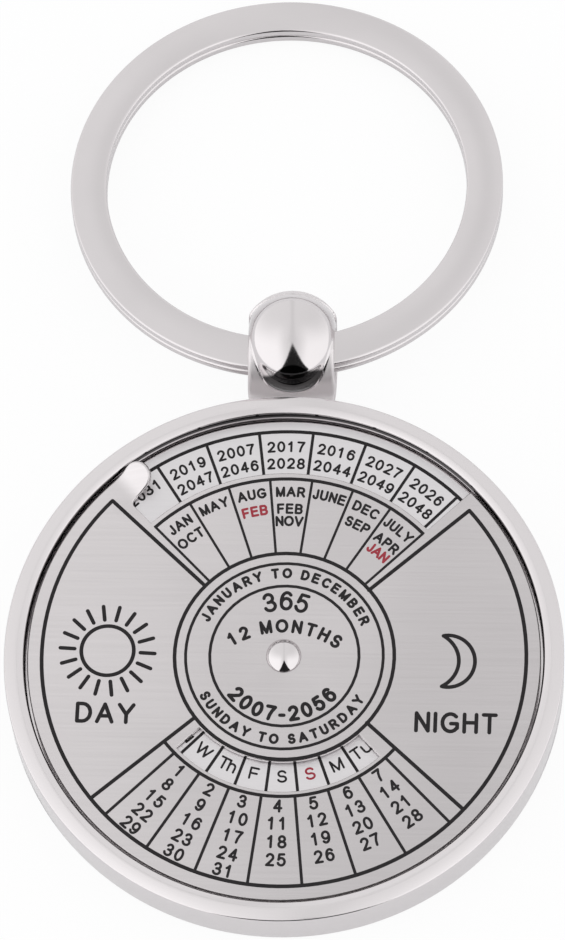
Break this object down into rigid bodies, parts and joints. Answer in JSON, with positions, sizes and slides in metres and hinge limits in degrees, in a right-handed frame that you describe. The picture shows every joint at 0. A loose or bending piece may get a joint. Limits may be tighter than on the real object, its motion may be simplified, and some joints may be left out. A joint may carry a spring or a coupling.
{
  "type": "perpetual calendar keyring",
  "caption": "Round metal key fob with a turning dial plate over a fixed scale disc, which lines up years, months, weekdays and dates, and a flat split ring in a ball lug.",
  "frame": {"origin": "centre of the round case on its flat back face", "axes": "+Z out of the dial's face, +Y from the case's centre to the lug and the ring, +X to the right when the lug is up"},
  "size_m": [0.04, 0.0732, 0.0082],
  "materials": {
    "plated_case": "polished nickel plate on die-cast zinc",
    "adhesive_tape": "double-sided tape",
    "printed_disc": "fine satin, printed",
    "plain_steel": "stamped",
    "polished_rivet": "polished",
    "washer_plastic": "plain",
    "brushed_dial": "straight brushed, etched and paint-filled",
    "plated_wire": "polished nickel plate on steel wire"
  },
  "bodies": {
    "case": {"case": "plated_case", "adhesive_ring": "adhesive_tape", "scale_disc": "printed_disc", "backing_washer": "plain_steel", "rivet": "polished_rivet", "friction_washer": "washer_plastic"},
    "dial": {"dial_plate": "brushed_dial"},
    "ring": {"split_ring": "plated_wire"}
  },
  "joints": [
    {"name": "dial_turn", "type": "hinge", "parent": "case", "child": "dial", "pos_m": [0, 0, 0.0035], "axis": [0, 0, 1], "continuous": true},
    {"name": "ring_swing", "type": "hinge", "parent": "case", "child": "ring", "pos_m": [0, 0.02306, 0.0043], "axis": [1, 0, 0], "range_deg": [-125, 170]}
  ]
}
